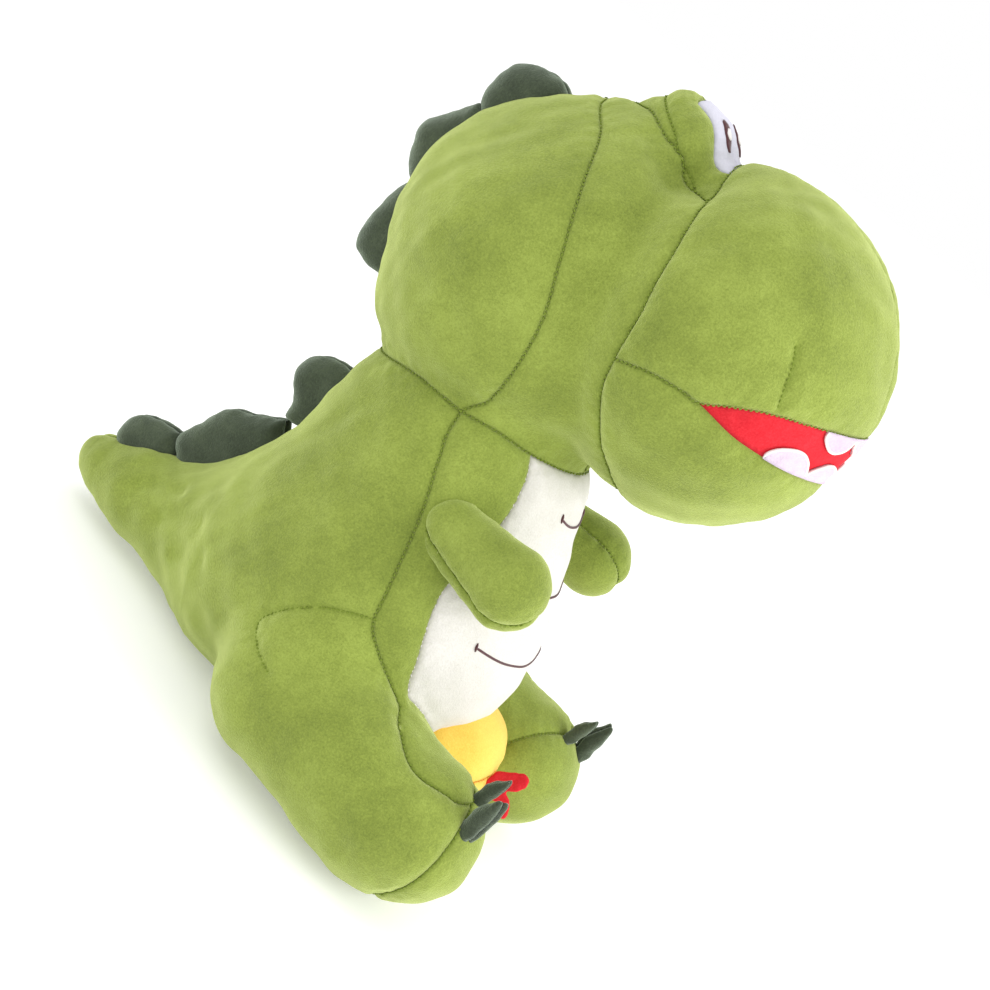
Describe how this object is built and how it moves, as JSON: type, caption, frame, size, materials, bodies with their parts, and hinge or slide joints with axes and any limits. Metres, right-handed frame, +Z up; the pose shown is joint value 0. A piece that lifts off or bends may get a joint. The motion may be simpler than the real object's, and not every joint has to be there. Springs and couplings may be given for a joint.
{
  "type": "stuffed dinosaur",
  "caption": "Sitting plush dinosaur with a big round head, open toothy muzzle, soft crests, white belly and short arms, stuffed with fibre.",
  "frame": {"origin": "on the seat plane, under the middle of the toy's length and width", "axes": "+X is the way the muzzle points, +Y is the toy's left, +Z is up"},
  "size_m": [0.3201, 0.2112, 0.3797],
  "materials": {
    "green_plush": "short-pile velvety plush, matt with a soft sheen",
    "dark_green_plush": "short-pile velvety plush, matt with a soft sheen",
    "white_plush": "short-pile velvety plush, matt",
    "yellow_plush": "short-pile velvety plush, matt",
    "red_cloth": "smooth knitted cloth, matt",
    "tooth_felt": "flat felt edged with satin stitch, matt",
    "brown_thread": "embroidery thread, slightly glossy",
    "stuffing": "loose polyester fibre, matt"
  },
  "bodies": {
    "torso": {"back_panel_right": "green_plush", "back_panel_left": "green_plush", "flank_panel_right": "green_plush", "flank_panel_left": "green_plush", "sole_panel_right": "green_plush", "sole_panel_left": "green_plush", "belly_panel": "white_plush", "seat_panel": "green_plush", "body_stuffing": "stuffing", "belly_line_1": "brown_thread", "belly_line_2": "brown_thread", "belly_line_3": "brown_thread", "back_crest_1": "dark_green_plush", "back_crest_2": "dark_green_plush", "back_crest_3": "dark_green_plush", "lap_pad": "yellow_plush", "lap_tab": "red_cloth", "claw_1_right": "dark_green_plush", "claw_1_left": "dark_green_plush", "claw_2_right": "dark_green_plush", "claw_2_left": "dark_green_plush"},
    "head": {"crown_panel_right": "green_plush", "crown_panel_left": "green_plush", "cheek_panel_right": "green_plush", "cheek_panel_left": "green_plush", "snout_panel_right": "green_plush", "snout_panel_left": "green_plush", "jaw_panel_right": "green_plush", "jaw_panel_left": "green_plush", "eye_hood_right": "green_plush", "eye_hood_left": "green_plush", "eye_white_right": "white_plush", "eye_white_left": "white_plush", "eye_stuffing_right": "stuffing", "eye_stuffing_left": "stuffing", "eye_pupil_right": "brown_thread", "eye_pupil_left": "brown_thread", "mouth_lining": "red_cloth", "lower_teeth": "tooth_felt", "upper_teeth": "tooth_felt", "head_stuffing": "stuffing", "head_crest_1": "dark_green_plush", "head_crest_2": "dark_green_plush", "head_crest_3": "dark_green_plush"},
    "arm_right": {"arm_outer_right": "green_plush", "arm_inner_right": "green_plush", "arm_stuffing_right": "stuffing"},
    "arm_left": {"arm_outer_left": "green_plush", "arm_inner_left": "green_plush", "arm_stuffing_left": "stuffing"}
  },
  "joints": [
    {"name": "head_nod", "type": "hinge", "parent": "torso", "child": "head", "pos_m": [0.01657, 0, 0.166], "axis": [0, 1, 0], "range_deg": [-9, 8], "stiffness_Nm_per_rad": 5},
    {"name": "arm_right_swing", "type": "hinge", "parent": "torso", "child": "arm_right", "pos_m": [0.04558, -0.058, 0.157], "axis": [0, 1, 0], "range_deg": [-20, 20], "stiffness_Nm_per_rad": 0.15},
    {"name": "arm_left_swing", "type": "hinge", "parent": "torso", "child": "arm_left", "pos_m": [0.04558, 0.058, 0.157], "axis": [0, 1, 0], "range_deg": [-20, 20], "stiffness_Nm_per_rad": 0.15}
  ]
}
